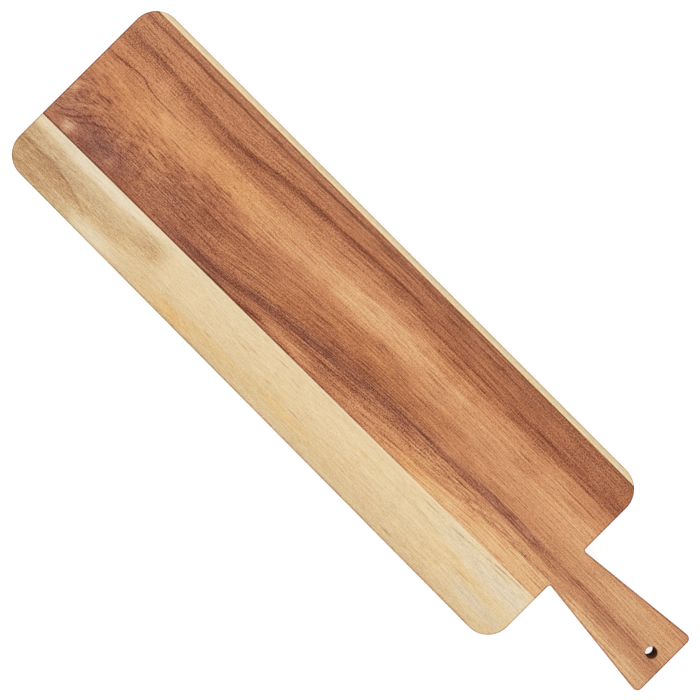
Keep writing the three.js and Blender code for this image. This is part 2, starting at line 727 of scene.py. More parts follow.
@dataclass(frozen=True)
class Wander:
    """A slow wander: the length and the width of its swings, its seed, how far it goes and its detail."""

    length: float
    width: float
    seed: float
    reach: float = 1.0
    detail: float = 0.0

    def over(self, surface: Surface, x: Field, y: Field, z: Field) -> Field:
        """The wander at each place, between -1 and 1."""
        return surface.noise(x, y, z, self.length, self.width, self.detail, seed=self.seed)


# How the wood and the glue wander, and how grain is drawn
RAGGED = Wander(50.0, 1.4, 11.0, detail=1.0)
SWAY = Wander(90.0, 18.0, 3.0, reach=0.9)
CURL = Wander(14.0, 9.0, 29.0)
BEADS = Wander(9.0, 2.0, 5.0, detail=2.0)
FIRST_GRAIN_SEED = 17.0
GRAIN_SEED_STEP = 9.0
GRAIN_HARSHNESS = 0.6
PORE_RISE = 0.3
# Painted shade on eased edges and sides, and the darker end grain, by the direction that they face
EASED_SHADE = ((0.0, 0.4), (0.5, 0.9), (0.75, 1.0), (0.93, 0.6), (0.985, 0.1), (1.0, 0.0))
END_GRAIN_FACING = (0.3, 0.9)


@dataclass(frozen=True)
class Bore:
    """A hole through the wood whose wall gets painted shade and more roughness: where its axis is, and its
    radius.
    """

    at: tuple[float, float]
    radius: float
    # how dark the painted shade on the wall is
    change: float = -75.0
    roughness: float = 0.4
    fade: float = 0.7


@dataclass(frozen=True)
class Wood:
    """A finish of oiled wood: a tone drawn by figure and grain, turned into colours.

    Tones are lightness on a screen, from 0 to 255. Grain is stronger in some tones than in others, and in
    lively patches. In curly patches its lines waver.
    """

    name: str
    base: float
    tones: Stops
    tints: tuple[Tint, ...]
    streaks: tuple[Streak, ...]
    patches: Patches
    flecks: Patches
    bends: tuple[Bend, ...]
    grains: tuple[Grain, ...]
    grain_strength: Points
    grain_bias: float = -0.008
    lively: Patches = ()
    curly: Patches = ()
    bore: Bore | None = None
    lean: float = 0.35
    feather: float = 2.0
    feather_along: float = 0.2
    fleck_feather: float = 0.3
    end_grain: float = -36.0
    # how dark the painted shade on eased edges and sides is
    eased_edge: float = -40.0
    roughness: float = 0.5
    roughness_variation: float = 0.04
    shine: float = 0.25

    def material(self) -> Material:
        """Builds the finish.

        Returns:
            The material.
        """
        surface = Surface(self.name)
        x = surface.x
        depth = BOARD_DEPTH - surface.z
        y = depth.times_plus(self.lean, surface.y)
        flow = self._flow(surface, x, y, depth)
        ragged = RAGGED.over(surface, x, flow, depth)
        edge_x = ragged.times_plus(self.feather_along, x)
        edge_y = ragged.times_plus(self.feather, y)

        tone = total(self.patches, edge_x, edge_y) + self.base
        for streak in self.streaks:
            tone = streak.laid_on(tone, edge_x, y, ragged)
        grain, relief = self._grain(surface, x, y, flow, depth)
        strength = tone.curve(self.grain_strength) + total(self.lively, x, y)
        tone = grain.times_plus(strength, tone)
        tone = tone + total(self.flecks, edge_x, ragged.times_plus(self.fleck_feather, y))
        roughness = ragged.times_plus(self.roughness_variation, self.roughness)
        tone, roughness = self._worked(surface, tone, roughness)

        colour = surface.ramp(tone, self.tones)
        for tint in self.tints:
            share = total(tint.patches, edge_x, edge_y).clamped()
            colour = surface.mixed(share, colour, surface.ramp(tone, tint.tones))
        return surface.finished(colour, roughness, relief, self.shine)

    def _flow(self, surface: Surface, x: Field, y: Field, depth: Field) -> Field:
        """Finds the place across the grain, which bends with the figure.

        Args:
            surface: The material that is being built.
            x: Place along the board.
            y: Place across it.
            depth: Place below its upper face.

        Returns:
            The place across the grain.
        """
        flow = y
        for bend in self.bends:
            flow = x.curve(bend.shift).times_plus(y.curve(bend.share), flow)
        flow = SWAY.over(surface, x, flow, depth).times_plus(SWAY.reach, flow)
        if self.curly:
            flow = CURL.over(surface, x, flow, depth).times_plus(total(self.curly, x, y), flow)
        return flow

    def _grain(self, surface: Surface, x: Field, y: Field, flow: Field,
               depth: Field) -> tuple[Field, Field]:
        """Adds up the layers of grain.

        Args:
            surface: The material that is being built.
            x: Place along the board.
            y: Place across it.
            flow: Place across the grain.
            depth: Place below the upper face.

        Returns:
            The tone that the grain adds and its relief in millimetres.
        """
        tone = x * 0.0
        relief = x * 0.0
        shares: dict[Patches, Field] = {}
        for i, grain in enumerate(self.grains):
            across = flow if grain.bends else y
            lines = surface.noise(
                x, across, depth, grain.length, grain.spacing, grain.detail,
                GRAIN_HARSHNESS, FIRST_GRAIN_SEED + GRAIN_SEED_STEP * i,
            )
            if grain.only_above is not None:
                lines = lines.step(grain.only_above, grain.only_above + PORE_RISE)
            if grain.zones:
                if grain.zones not in shares:
                    shares[grain.zones] = total(grain.zones, x, y).clamped()
                lines = lines * shares[grain.zones]
            tone = lines.times_plus(grain.change, tone)
            if grain.relief:
                relief = lines.times_plus(grain.relief, relief)
        return tone.times_plus(self.grain_bias, 1.0) * tone, relief

    def _worked(self, surface: Surface, tone: Field, roughness: Field) -> tuple[Field, Field]:
        """Darkens end grain, and paints shade on eased edges and sides and on the hole's wall, which is also
        made rougher.

        Args:
            surface: The material that is being built.
            tone: The tone so far.
            roughness: The roughness so far.

        Returns:
            The tone and the roughness.
        """
        facing_x, _, facing_z = surface.facing()
        # painted shade: eased edges and sides darker the further they face away from straight up
        tone = abs(facing_z).curve(EASED_SHADE).times_plus(self.eased_edge, tone)
        tone = abs(facing_x).step(*END_GRAIN_FACING).times_plus(self.end_grain, tone)
        # painted shade on the hole's wall, which is also rougher
        if self.bore:
            along = surface.x - self.bore.at[0]
            across = surface.y - self.bore.at[1]
            outer = self.bore.radius + self.bore.fade
            wall = along.times_plus(along, across * across).step(outer**2, self.bore.radius**2)
            tone = wall.times_plus(self.bore.change, tone)
            roughness = wall.times_plus(self.bore.roughness, roughness)
        return tone, roughness


# A reach that covers the whole board
WIDE = 9999

# Where layers of the heartwood's grain show
BELLY = (Patch((205, 66), 70, 20, 1.0),)
KNOT = (Patch((30, 62), 34, 18, 1.0),)
FLANK = (Patch((425, 66), 70, 5, 1.0),)
STRAIGHT = (
    Patch((300, 80), WIDE, WIDE, 1.0), Patch((95, 92), 120, 200, -0.5), Patch((34, 61), 30, 17, -0.9),
    Patch((460, 145), 70, 14, -0.4),
)
FAR_HALF = (Patch((70, 85), 110, 60, 1.0),)
GRITTY = (
    Patch((300, 80), WIDE, WIDE, 0.5), Patch((90, 132), 150, 27, 0.4), Patch((290, 60), 150, 16, 0.28),
    Patch((460, 146), 70, 14, 0.3),
)
STREAK = (
    Patch((270, 66), 40, 4, 1.0), Patch((350, 72.5), 45, 4, 1.0), Patch((440, 77), 50, 4, 1.0),
    Patch((530, 76), 50, 4, 0.8),
)

HEARTWOOD = Wood(
    name="oiled_heartwood",
    base=152.5,
    tones=(
        (55, "#5c2308"), (70, "#72310f"), (85, "#814021"), (104, "#935132"), (116, "#a15d3c"),
        (127, "#ac6946"), (147, "#c27e54"), (167, "#d49565"), (178, "#dba270"), (190, "#e1b37f"),
        (210, "#ebcd9e"),
    ),
    tints=(
        # purple-brown, round the knot and in the main streak
        Tint(
            (
                (55, "#512a20"), (85, "#7b4536"), (104, "#8d5647"), (127, "#a86f59"), (167, "#ce9776"),
                (210, "#e8cfaa"),
            ),
            (
                Patch((46, 54), 32, 14, 0.9), Patch((150, 49), 40, 7, 0.5),
                Patch((215, 59.5), 22, 3.5, 0.4), Patch((260, 65), 24, 4, 0.4),
                Patch((300, 69.5), 28, 4, 0.4), Patch((350, 73), 30, 4, 0.3),
                Patch((435, 77), 50, 3, 0.6), Patch((5, 65), 14, 26, 0.5), Patch((110, 66), 18, 10, 0.4),
            ),
        ),
        # honey, in the golden middle
        Tint(
            (
                (85, "#843f1a"), (104, "#985028"), (127, "#b26839"), (147, "#c87e45"), (167, "#d99656"),
                (190, "#e5b472"), (210, "#edcf97"),
            ),
            (
                Patch((130, 107), 50, 12, 0.5), Patch((350, 126), 40, 12, 0.3),
                Patch((45, 95), 40, 12, 0.4), Patch((300, 88), 70, 12, 0.4),
                Patch((375, 52), 30, 5, 0.75), Patch((450, 56), 50, 7, 0.3),
                Patch((222, 72), 30, 6, 0.35),
            ),
        ),
        # drier wood, in the handle and beside the right glue line
        Tint(
            (
                (85, "#7c4528"), (104, "#8f5338"), (127, "#a86c4b"), (147, "#bc815a"), (167, "#cd986b"),
                (190, "#dcb685"), (210, "#e8cfa4"),
            ),
            (
                Patch((565, 78), 70, 34, 0.85), Patch((250, 153), 320, 6, 0.7),
                Patch((5, 142), 24, 14, 0.5), Patch((4, 72), 5, 6, 0.7), Patch((588, 60), 16, 5, 0.8),
            ),
        ),
        # pale grey-brown, in the light spot by the knot
        Tint(
            (
                (104, "#8f5a47"), (127, "#a8745a"), (147, "#be8e70"), (167, "#cea483"), (190, "#dcb998"),
            ),
            (Patch((20, 50), 5, 4.5, 1.0),),
        ),
    ),
    streaks=(
        # the brown third along the right side
        Streak(
            ((0, 150), (600, 150)),
            ((0, -8), (100, -12), (180, -16), (260, -22), (320, -28), (380, -30), (500, -26)),
            10, 6, 14,
        ),
        # the dark streak in it, and its fine dark core
        Streak(
            (
                (0, 132), (50, 130.5), (90, 129), (120, 129), (143, 131), (169, 133.6), (202, 136),
                (233, 137.4), (300, 139.5),
            ),
            (
                (0, -12), (15, -26), (60, -28), (90, -20), (116, -26), (132, -48), (160, -36), (190, -36),
                (220, -20), (250, -16), (300, -6), (320, 0),
            ),
            1.6, 3.4, 0.9, 0.8,
        ),
        Streak(
            (
                (0, 132.5), (60, 130.6), (100, 129.6), (143, 132), (169, 134.2), (216, 137.2), (233, 138),
                (271, 139.4), (300, 139.9),
            ),
            (
                (0, 0), (40, -4), (150, -8), (200, -14), (230, -26), (260, -38), (290, -28), (300, -10),
                (304, 0),
            ),
            0.8, 1.0, 0.3, 0.3,
        ),
        # the brown below the streak
        Streak(
            ((0, 127), (70, 126), (110, 123.5), (150, 124), (200, 128), (300, 132)),
            ((0, -12), (40, -8), (70, -14), (95, -22), (125, -30), (150, -24), (200, -6), (250, 0)),
            5, 6, 2,
        ),
        # a fine dark line beside the right glue line
        Streak(
            ((0, 148.8), (60, 149), (100, 149), (170, 149.5), (240, 151), (300, 152.3), (400, 153.5)),
            ((0, -24), (15, -46), (100, -54), (170, -46), (215, -46), (250, -28), (300, -20), (400, -4)),
            0.8, 1.1, 0.35, 0.2,
        ),
        # the golden middle
        Streak(
            (
                (0, 104), (70, 102), (150, 105), (250, 110), (310, 110), (360, 107), (450, 105),
                (500, 102), (600, 94),
            ),
            (
                (0, -4), (30, -2), (70, 12), (100, 16), (130, 20), (200, 18), (230, 24), (260, 30),
                (310, 28), (350, 16), (420, 16), (480, 22), (510, 27), (600, 19),
            ),
            12, 13, 4,
        ),
        # the red-brown belly
        Streak(
            ((0, 72), (100, 72), (200, 70), (300, 74), (380, 78)),
            (
                (0, -14), (40, -18), (100, -24), (140, -32), (190, -22), (250, -24), (300, -24),
                (350, -14), (390, 0),
            ),
            18, 30, 10,
        ),
        # the main dark streak, that runs on through the handle, and the brown above it
        Streak(
            (
                (100, 51), (130, 49), (150, 49), (185, 53.6), (202, 56.6), (229, 59.8), (255, 63.3),
                (281, 66.2), (307, 68.9), (340, 71), (400, 74.7), (440, 77), (480, 77.2), (520, 76.4),
                (560, 74.8), (600, 73),
            ),
            (
                (80, 0), (110, -10), (130, -20), (200, -34), (229, -36), (255, -40), (280, -22), (300, -18),
                (345, -15), (380, -12), (420, -30), (440, -32), (465, -10), (490, -13), (530, -25),
                (560, -23), (600, -12),
            ),
            3.4, 1.0, 1.0, 1.5,
        ),
        Streak(
            ((200, 66), (255, 71), (307, 76), (340, 77), (400, 79), (440, 80.5), (500, 80)),
            (
                (200, 0), (230, -4), (270, -8), (310, -12), (340, -4), (400, -6), (440, -10), (480, -6),
                (510, 0),
            ),
            6, 6, 2,
        ),
        # a fainter line below it
        Streak(
            ((230, 54.6), (260, 57.4), (300, 61), (340, 64.4), (380, 66.4)),
            ((230, 0), (250, -28), (275, -30), (300, -28), (340, -20), (375, 0)),
            1.0, 1.0, 0.4, 0.6,
        ),
        # fine dark lines beside it near the handle
        Streak(
            ((380, 71), (420, 73.4), (455, 74.8), (500, 74.4)),
            ((380, 0), (410, -22), (470, -22), (505, 0)),
            0.6, 0.6, 0.2, 0.5,
        ),
        Streak(
            ((400, 78), (440, 80), (480, 80), (520, 79)),
            ((400, 0), (425, -9), (470, -9), (500, 0)),
            1.2, 0.8, 0.2, 0.5,
        ),
        Streak(
            ((385, 66.5), (400, 68.4), (420, 70), (440, 71.2), (460, 71.8), (495, 72.2)),
            ((385, 0), (395, -26), (420, -34), (440, -14), (460, -24), (495, -14), (505, 0)),
            0.6, 0.6, 0.2, 0.4,
        ),
        # the tan flank beside the left glue line
        Streak(
            ((190, 44), (345, 46), (400, 48), (500, 50), (600, 52)),
            ((190, 0), (220, 5), (300, 10), (350, 12), (400, 18), (500, 20), (600, 14)),
            18, 8, 2,
        ),
        # its honey-coloured lower part
        Streak(
            (
                (310, 44), (345, 48.3), (360, 49.8), (380, 51.3), (400, 53), (420, 56), (440, 56.6),
                (465, 57.5), (500, 59), (600, 61),
            ),
            (
                (310, 0), (345, 8), (360, 12), (380, 15), (400, 19), (450, 17), (500, 14), (530, 11),
                (600, 11),
            ),
            1.4, 14, 4, 1.2,
        ),
        # the dark line along the honey-coloured part's border
        Streak(
            (
                (335, 52.5), (345, 54), (360, 56), (380, 57.6), (400, 58.8), (420, 61.6), (440, 63),
                (490, 64.8),
            ),
            ((330, 0), (345, -18), (380, -20), (400, -12), (440, -5), (470, -5), (490, -14), (505, 0)),
            0.9, 0.7, 0.3, 0.5,
        ),
        # the dark line beside the left glue line
        Streak(
            ((160, 45.4), (180, 46.1), (200, 46.7), (211, 47.7), (222, 48.6)),
            ((158, 0), (168, -34), (180, -46), (188, -24), (200, -50), (214, -56), (222, -30), (230, 0)),
            0.5, 0.6, 0.3, 0.15,
        ),
        # the crack line at the far end
        Streak(
            (
                (0, 110.6), (14, 111.4), (27, 112.8), (36, 112.9), (41, 111.4), (62, 109), (80, 109.4),
                (105, 112),
            ),
            ((0, -40), (15, -60), (40, -60), (60, -36), (80, -26), (105, 0)),
            0.45, 0.55, 0.2, 0.5,
        ),
        # the darker lower edge of the brown third near the handle
        Streak(
            ((310, 130.5), (370, 129), (420, 130.5), (500, 132)),
            ((296, 0), (315, -16), (370, -20), (430, -24), (470, -18), (490, -20), (502, -24)),
            6, 5, 0.8, 1.2,
        ),
        # the sweep of the grain round a knot at the far end: three dark arcs and a light one
        Streak(
            ((4, 49.5), (10, 52.6), (20, 58.4), (24, 63), (29, 68), (36, 70.5)),
            ((4, 0), (10, -26), (20, -34), (28, -32), (37, 0)),
            0.9, 0.9, 0.5, 0.6,
        ),
        Streak(
            ((2, 53.5), (10.6, 57), (15, 60.5)),
            ((1, 0), (4, -26), (12, -26), (16, 0)),
            0.8, 0.8, 0.4, 0.5,
        ),
        Streak(
            ((18, 53), (25, 57.6), (33, 63.4), (42, 68.6)),
            ((17, 0), (22, -22), (36, -24), (44, 0)),
            1.0, 1.0, 0.4, 0.8,
        ),
        Streak(
            ((5, 56), (11, 62), (19.5, 70), (28, 74.6), (42, 77)),
            ((5, 0), (12, 12), (20, 14), (30, 10), (42, 0)),
            1.4, 1.4, 0.4, 0.4,
        ),
        # the dark lines along the two glue lines
        Streak(
            ((0, 43.1), (500, 48.7)),
            ((0, -58), (200, -56), (300, -26), (380, -14), (410, 0)),
            0.9, 2, 0.35, 0.1,
        ),
        Streak(((0, 155.1), (500, 155.1)), ((0, -20), (500, -18)), 2, 0.9, 0.3, 0.1),
    ),
    patches=(
        # round the knot
        Patch((48, 55), 26, 9, -24), Patch((40, 46.5), 36, 4, -18), Patch((20.5, 49.5), 4.8, 4, 58),
        Patch((27, 51), 6, 3, 14), Patch((13, 76), 2.5, 6, -5), Patch((30, 71), 6, 5, 9),
        Patch((61, 53), 4, 3, 27), Patch((3.5, 73), 3, 4.5, 44), Patch((30, 62), 10, 6, -13),
        Patch((30, 48), 8, 3, -10), Patch((9, 80), 5, 4, 12), Patch((72, 78), 14, 4, 10),
        Patch((50, 62), 9, 4, -10), Patch((70, 53), 9, 3, -11), Patch((40, 49), 5, 3, -12),
        Patch((60, 50), 6, 2.5, 12),
        # the rest of the far end
        Patch((26, 100), 9, 5, 14), Patch((22, 108), 22, 9, -6), Patch((125, 101), 16, 12, -8),
        Patch((82, 82), 22, 7, 12), Patch((48, 92), 22, 8, 12), Patch((50, 84), 10, 9, 7),
        Patch((10, 102), 10, 5, 13), Patch((72, 98), 12, 8, 10), Patch((100, 90), 16, 4, 11),
        Patch((90, 78), 9, 4, 10), Patch((14, 130), 14, 4, -10), Patch((50, 122), 8, 14, 9),
        Patch((20, 124), 24, 4, -7), Patch((126, 98), 14, 5, -9), Patch((30, 95), 6, 3, -10),
        # along the left glue line
        Patch((152, 48.5), 24, 3.5, -14), Patch((190, 53), 8, 3, -12), Patch((186, 48.5), 22, 3, -6),
        Patch((335, 56), 24, 5, 12), Patch((80, 47.5), 22, 3, -17), Patch((213, 48.2), 8, 1.6, -22),
        Patch((258, 50), 20, 3, 28), Patch((310, 54), 10, 4, 14), Patch((230, 52), 8, 3, 10),
        Patch((290, 48), 8, 2, -12),
        # the belly
        Patch((310, 91), 30, 4, 9), Patch((215, 79), 18, 5, 7), Patch((188, 70), 22, 8, 9),
        Patch((250, 87), 45, 6, 9), Patch((171, 90), 12, 4, 18), Patch((338, 91), 18, 4, 7),
        Patch((270, 84), 12, 3, 9), Patch((162, 75), 34, 4, 12), Patch((218, 84), 16, 7, 9),
        Patch((330, 66), 24, 4, 8), Patch((90, 69), 9, 6, 10), Patch((160, 69), 14, 6, 9),
        Patch((150, 86), 10, 6, 12), Patch((150, 64), 8, 3, 14), Patch((308, 88), 12, 3, 10),
        # along the main streak towards the handle
        Patch((425, 88), 40, 4, 9), Patch((350, 62), 34, 4, 10), Patch((460, 69), 44, 3, 9),
        Patch((472, 80.5), 44, 2.5, 8), Patch((370, 63), 12, 3, 12), Patch((410, 63.5), 14, 3, 13),
        Patch((470, 64), 40, 5, 9), Patch((470, 83), 70, 4, 8),
        # the golden middle
        Patch((295, 99), 36, 5, -15), Patch((378, 95), 16, 4, -9), Patch((232, 119), 12, 3, -11),
        Patch((232, 100), 8, 3, -18), Patch((390, 120), 24, 4, 8), Patch((460, 120), 20, 6, 8),
        Patch((180, 119), 60, 4, -8), Patch((430, 109), 16, 4, -10), Patch((260, 118), 14, 3, -9),
        # the brown third
        Patch((470, 140), 8, 4, 8), Patch((330, 142), 12, 4, -9), Patch((290, 152), 10, 2, -9),
        Patch((390, 152), 8, 2, -10),
        # the handle
        Patch((552, 61), 30, 5, 15), Patch((555, 79), 30, 4, 9), Patch((560, 83), 60, 5, 10),
        Patch((560, 101), 60, 4, -10), Patch((594, 63), 12, 6, -4), Patch((590, 76), 16, 3, 8),
        Patch((530, 63), 12, 6, 10), Patch((522, 97), 12, 3, -10), Patch((568, 84), 12, 3, -9),
        Patch((560, 63), 14, 4, -8),
        # painted shade along the rims of both ends, partly darker end grain, and a painted highlight just
        # inside the far end's rim
        Patch((0.2, 80), 0.9, 200, -50), Patch((1.7, 100), 0.5, 60, 14), Patch((600, 80), 1.2, 200, -34),
    ),
    flecks=(
        # short dark lines in the belly and above the left glue line
        Patch((155, 77.4), 20, 0.6, -40), Patch((186, 73), 12, 0.4, -24), Patch((157, 60.6), 9, 0.7, -36),
        Patch((150, 63.5), 7, 0.5, -28), Patch((168, 51.8), 16, 0.8, -30),
        # light lines between them
        Patch((158, 65), 14, 1.2, 14), Patch((188, 71), 26, 1.3, 13),
        # strokes and dark marks round the knot
        Patch((6, 54.5), 3, 0.7, 22), Patch((2.5, 62.3), 2, 0.7, 22), Patch((4.6, 67.8), 2, 0.7, -26),
        Patch((12.5, 77.5), 2.5, 1.1, -42), Patch((14.5, 80.6), 2.5, 1.0, -40),
        Patch((12, 72), 2, 1.0, -32), Patch((22.4, 81.2), 4, 1.2, -44),
        Patch((28.7, 82.8), 2.5, 1.0, -42), Patch((35, 64.6), 3.5, 0.9, -26),
        Patch((37, 76.4), 3, 1.0, -22), Patch((47, 72), 3, 0.6, -26), Patch((55, 84.4), 6, 0.9, -26),
        Patch((63, 72), 4, 0.8, -26), Patch((64, 80.5), 4, 0.5, -28),
        # short dark lines elsewhere, the last three at the handle's end
        Patch((176, 84), 12, 0.5, -34), Patch((206, 80), 12, 0.4, -24), Patch((235, 88), 8, 0.4, -20),
        Patch((97, 62), 7, 0.5, -26), Patch((120, 66), 9, 0.5, -24), Patch((399, 134.8), 8, 0.6, -26),
        Patch((422, 134.6), 5, 0.5, -24), Patch((340, 123.8), 22, 0.5, -22),
        Patch((369, 118), 4, 0.5, -22), Patch((594, 86), 4, 0.4, -30), Patch((592, 88.5), 5, 0.4, -26),
        Patch((596, 84), 3, 0.4, -24),
    ),
    bends=(
        Bend(
            ((0, 7), (10, 4), (20, 1.6), (30, 0.4), (40, 0)),
            ((40, 1), (64, 1), (84, 0)),
        ),
        Bend(
            (
                (100, 13), (150, 13), (200, 8), (250, 0.6), (300, -4.6), (400, -10.7), (450, -13),
                (600, -9),
            ),
            ((20, 0), (62, 1), (104, 0)),
        ),
        Bend(
            ((0, 5), (90, 6.5), (130, 5), (190, 0), (270, -4.8), (340, -6), (600, 0)),
            ((100, 0), (134, 1), (160, 0.6)),
        ),
    ),
    grains=(
        Grain(220.0, 8.0, 4.0),
        Grain(150.0, 3.2, 3.5, zones=STRAIGHT),
        Grain(150.0, 1.8, -7.0, -0.01, only_above=0.45, zones=STRAIGHT),
        Grain(100.0, 0.9, 26.0, 0.005, detail=1.0, zones=STRAIGHT),
        Grain(22.0, 0.7, 16.0, detail=0.0, zones=STRAIGHT),
        Grain(24.0, 0.65, -48.0, -0.02, only_above=0.5, detail=1.0, zones=STRAIGHT),
        Grain(1.2, 0.7, 40.0, detail=0.0, bends=False, zones=GRITTY),
        Grain(80.0, 0.8, -58.0, only_above=0.5, detail=1.0, zones=BELLY),
        Grain(6.0, 0.8, -32.0, only_above=0.4, detail=0.0, zones=KNOT),
        Grain(130.0, 1.8, -26.0, only_above=0.4, detail=1.0, zones=BELLY),
        Grain(130.0, 4.5, 7.0, zones=BELLY),
        Grain(10.0, 0.75, 34.0, detail=0.0, zones=FLANK),
        Grain(20.0, 0.75, -52.0, only_above=0.3, detail=1.0, zones=STREAK),
        Grain(3.5, 0.75, 8.0, detail=0.0),
        Grain(18.0, 0.7, -44.0, only_above=0.5, detail=1.0, zones=FAR_HALF),
        Grain(12.0, 0.85, 24.0, detail=1.0, zones=FAR_HALF),
    ),
    grain_strength=((100, 1.5), (130, 1.25), (150, 1.0), (165, 0.9), (180, 0.8)),
    lively=(
        Patch((420, 67), 80, 5, 0.4), Patch((440, 78), 70, 3, 0.2), Patch((450, 54), 60, 5, -0.3),
        Patch((410, 143), 110, 9, -0.3), Patch((95, 66), 50, 18, 0.3), Patch((20, 96), 26, 13, -0.25),
        Patch((46, 52), 24, 8, -0.2), Patch((85, 98), 30, 9, -0.3),
    ),
    curly=(Patch((20, 70), 30, 16, 0.5), Patch((400, 66), 70, 6, 0.35)),
    # painted shade on the hanging hole's wall
    bore=Bore((586.5, 80.0), 4.25),
)

SAP_TONES = (
    (120, "#9c6c3f"), (150, "#b6895d"), (170, "#c69d70"), (185, "#d3af80"), (195, "#dabb8b"),
    (204, "#e0c598"), (212, "#e7cea4"), (226, "#f0dbb4"),
)
SAP_GREY = (
    (120, "#8c7258"), (150, "#a88f72"), (170, "#bba388"), (185, "#c9b599"), (204, "#d8c7ab"),
    (212, "#dfd0b6"), (226, "#ebe0cc"),
)
SAP_GOLD = (
    (120, "#a4672b"), (150, "#c08645"), (170, "#d39c59"), (185, "#deae6a"), (204, "#e8c688"),
    (212, "#ebcf98"), (226, "#f2dfba"),
)
SAP_GRAINS = (
    Grain(160.0, 6.0, 2.8),
    Grain(60.0, 2.6, 2.8),
    Grain(26.0, 1.3, 6.5, 0.004),
    Grain(9.0, 1.0, -24.0, -0.015, only_above=0.75),
    Grain(5.0, 1.0, 8.0, 0.003),
    Grain(0.9, 0.9, 8.0, 0.002, detail=0.0),
    Grain(12.0, 0.75, 5.0, detail=0.0),
)
SAP_GRAIN_STRENGTH = ((160, 2.8), (185, 2.1), (195, 1.4), (205, 1.0))

SAPWOOD = Wood(
    name="pale_sapwood",
    base=213.5,
    tones=SAP_TONES,
    tints=(
        # greyer, at both ends and along the left edge
        Tint(
            SAP_GREY,
            (
                Patch((60, 40), 70, 5, 0.8), Patch((50, 28), 50, 7, 0.35), Patch((190, 38), 40, 7, 0.2),
                Patch((90, 5), 24, 6, 0.45), Patch((330, 3), 320, 6, 0.12), Patch((480, 36), 34, 8, 0.75),
                Patch((428, 39), 22, 6, 0.35), Patch((472, 15), 30, 4.5, 0.7),
            ),
        ),
        # golden, in streaks
        Tint(
            SAP_GOLD,
            (
                Patch((170, 7), 24, 4, 0.9), Patch((212, 10.5), 26, 3.5, 0.5),
                Patch((280, 13), 34, 4, 0.6), Patch((345, 33), 50, 2.5, 0.35),
                Patch((430, 27), 22, 3, 0.45), Patch((462, 25), 24, 2.5, 0.4),
                Patch((432, 15), 16, 6, 0.4), Patch((335, 22), 24, 8, 0.2), Patch((270, 26), 20, 5, 0.3),
            ),
        ),
    ),
    streaks=(
        # duller towards the left edge, and painted shade along its rim
        Streak(((0, 0), (600, 0)), ((0, -16), (600, -14)), 34, 4, 0.5),
        Streak(((0, 0.9), (600, 0.9)), ((0, -10), (600, -10)), 1.4, 0.6, 0.2, 0.2),
        # the tan stain at the far end
        Streak(
            ((0, 25), (60, 23), (100, 25), (130, 30)),
            ((0, -34), (30, -30), (60, -24), (95, -18), (125, -18), (138, -8), (146, 0)),
            8, 10, 5, 1.2,
        ),
        # its browner part, and the line that parts the two
        Streak(
            ((0, 15), (15, 14.5), (44, 12.4), (62, 8), (72, 5)),
            ((0, -14), (20, -18), (45, -16), (60, -14), (72, 0)),
            1.5, 5, 8, 0.5,
        ),
        Streak(
            ((0, 25), (15, 24), (44, 21.4), (62, 16.5), (74, 12)),
            ((0, 0), (14, -6), (30, -10), (50, -15), (66, -16), (76, 0)),
            0.6, 1.5, 0.25, 0.35,
        ),
        # the pale band beside the glue line
        Streak(((0, 40), (140, 42)), ((0, 0), (30, 3), (100, 10), (140, 4), (170, 0)), 6, 5, 1),
        Streak(((0, 42.4), (500, 47.9)), ((0, 12), (230, 12), (400, 12), (500, 4)), 0.8, 0.9, 0.3, 0.1),
        # a fine dark line that runs up to the glue line near the handle
        Streak(
            ((420, 41.4), (450, 43.7), (475, 45.5), (492, 46.2)),
            ((420, 0), (430, -26), (450, -16), (462, -34), (478, -34), (492, 0)),
            0.5, 0.5, 0.15, 0.3,
        ),
        # a faint curved line
        Streak(
            ((310, 32), (350, 34), (390, 34), (430, 30), (450, 27)),
            ((310, 0), (340, -6), (430, -8), (450, 0)),
            1, 2, 0.5, 0.8,
        ),
    ),
    patches=(
        Patch((125, 31), 10, 4, -16), Patch((10, 4), 26, 4, -38), Patch((30, 38), 10, 5, -6),
        Patch((130, 25), 8, 3, -7), Patch((92, 17), 10, 4, -8), Patch((72, 11), 6, 3, -9),
        Patch((90, 4), 26, 7, 19), Patch((462, 12), 24, 5, 5), Patch((455, 24), 26, 4, -4),
        Patch((188, 20), 50, 6, 6), Patch((170, 4), 14, 3, -7),
        # painted shade along the far end's rim, partly darker end grain
        Patch((0.2, 20), 0.9, 200, -32),
    ),
    flecks=(
        Patch((21, 21.4), 4, 0.4, -40), Patch((33, 17.5), 5, 0.4, -26), Patch((232, 30), 4, 0.4, -40),
        Patch((226, 27), 3, 0.4, -40), Patch((217, 27.6), 5, 0.4, -20), Patch((256, 29.5), 3, 0.4, -36),
        Patch((255, 21.5), 2.5, 0.4, -28), Patch((255, 38.6), 4, 0.4, -28),
        Patch((201, 14.5), 3, 0.4, -26), Patch((285, 18), 4, 0.5, -28), Patch((302, 7.5), 2, 0.6, -20),
        Patch((392, 6), 4, 0.5, -40), Patch((452, 23), 6, 0.5, -30), Patch((402, 42), 9, 0.4, -26),
        Patch((470, 42.6), 8, 0.4, -34), Patch((486, 33), 6, 0.5, -22),
    ),
    bends=(Bend(((0, 0), (600, -6)), ((0, 0.2), (48, 1))),),
    grains=SAP_GRAINS,
    grain_strength=SAP_GRAIN_STRENGTH,
    end_grain=-34.0,
    # painted shade on eased edges and sides
    eased_edge=-22.0,
)

SAPWOOD_STRIP = Wood(
    name="pale_sapwood_strip",
    base=209.0,
    tones=SAP_TONES,
    # greyer along the outer edge: painted shade on its eased edge
    tints=(Tint(SAP_GREY, (Patch((250, 160), 400, 1.5, 0.35),)),),
    streaks=(
        # painted shade along the outer edge, and a lighter line beside the glue line
        Streak(((0, 160), (600, 160)), ((0, -4), (600, -4)), 1, 1.5, 0.6),
        Streak(((0, 156.1), (600, 156.1)), ((0, 13), (600, 13)), 0.7, 1, 0.3, 0.3),
    ),
    patches=(),
    flecks=(),
    bends=(),
    grains=SAP_GRAINS,
    grain_strength=SAP_GRAIN_STRENGTH,
    end_grain=-30.0,
    # painted shade on eased edges and sides
    eased_edge=-12.0,
)


